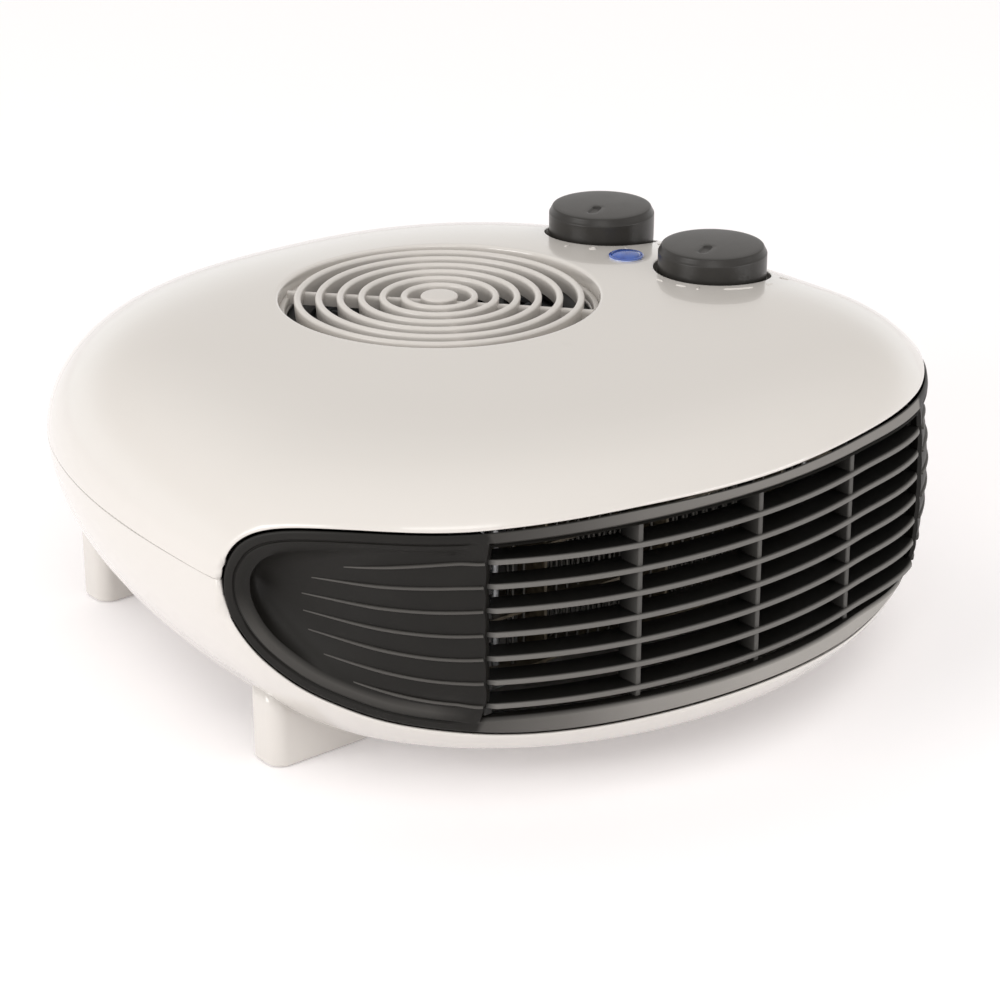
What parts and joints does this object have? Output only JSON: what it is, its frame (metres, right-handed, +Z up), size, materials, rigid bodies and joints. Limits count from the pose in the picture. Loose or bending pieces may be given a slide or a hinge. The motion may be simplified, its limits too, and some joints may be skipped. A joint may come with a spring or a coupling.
{
  "type": "fan convector heater",
  "caption": "Low domed table-top fan heater with a round top inlet grille, two rotary knobs, a pilot lens and a curved front louvred outlet between black side scoops.",
  "frame": {"origin": "centre of the footprint's bounding box, on the surface the feet stand on", "axes": "+Z up, -Y is the air outlet at the front, +X is to the right seen from the front, where the knobs are"},
  "size_m": [0.264, 0.2637, 0.1096],
  "materials": {
    "white_gloss": "glossy injection-moulded ABS, warm white",
    "white_satin": "satin moulded plastic, slightly greyer white",
    "black_matte": "finely textured black heat-resistant plastic",
    "knob_grey": "finely spark-textured dark grey plastic",
    "lens_blue": "translucent blue pilot lens",
    "lamp_glass": "clear neon lamp glass",
    "zinc_steel": "bright zinc-plated steel",
    "screw_steel": "zinc-plated screw steel",
    "lamination_steel": "stacked electrical steel",
    "cast_aluminium": "as-cast aluminium",
    "bush_bronze": "oil-soaked sintered bronze",
    "bimetal_brass": "plain contact brass",
    "copper_winding": "lacquered copper winding in tape",
    "black_phenolic": "moulded phenolic",
    "ceramic_cream": "unglazed steatite and cream moulding",
    "mica_board": "pressed mica board",
    "heating_wire": "oxidised resistance wire",
    "impeller_grey": "grey moulded fan wheel"
  },
  "bodies": {
    "housing": {"top_cover": "white_gloss", "bottom_housing": "white_gloss", "front_bezel": "black_matte", "outlet_grille": "black_matte", "inlet_grille": "white_satin", "pilot_lens": "lens_blue", "pilot_lamp": "lamp_glass", "control_bracket": "zinc_steel", "control_screws": "screw_steel", "selector_switch": "black_phenolic", "thermostat_body": "ceramic_cream", "thermostat_blades": "bimetal_brass", "air_duct": "black_matte", "motor_plate": "zinc_steel", "motor_screws": "screw_steel", "stator_laminations": "lamination_steel", "stator_coil": "copper_winding", "upper_bearing_bracket": "cast_aluminium", "lower_bearing_bracket": "cast_aluminium", "bearing_bushes": "bush_bronze", "stator_bolts": "screw_steel", "element_boards": "mica_board", "heating_wires": "heating_wire", "element_brackets": "zinc_steel", "element_screws": "screw_steel", "thermal_cutout": "ceramic_cream", "thermal_fuse": "ceramic_cream", "terminal_block": "ceramic_cream", "terminal_screws": "bimetal_brass", "terminal_fixing_screws": "screw_steel", "cord_bushing": "white_satin", "cord_clamp": "black_phenolic", "clamp_screws": "screw_steel", "housing_screws": "screw_steel"},
    "fan": {"motor_rotor": "lamination_steel", "motor_shaft": "zinc_steel", "impeller": "impeller_grey", "impeller_clip": "screw_steel"},
    "selector": {"selector_knob": "knob_grey", "selector_spindle": "zinc_steel"},
    "thermostat": {"thermostat_knob": "knob_grey", "thermostat_spindle": "zinc_steel"}
  },
  "joints": [
    {"name": "fan_spin", "type": "hinge", "parent": "housing", "child": "fan", "pos_m": [0, 0.01725, 0.05], "axis": [0, 0, 1], "continuous": true},
    {"name": "selector_turn", "type": "hinge", "parent": "housing", "child": "selector", "pos_m": [0.084, 0.0375, 0.1], "axis": [0, 0, -1], "range_deg": [0, 135]},
    {"name": "thermostat_turn", "type": "hinge", "parent": "housing", "child": "thermostat", "pos_m": [0.084, -0.0165, 0.1], "axis": [0, 0, -1], "range_deg": [0, 270]}
  ]
}
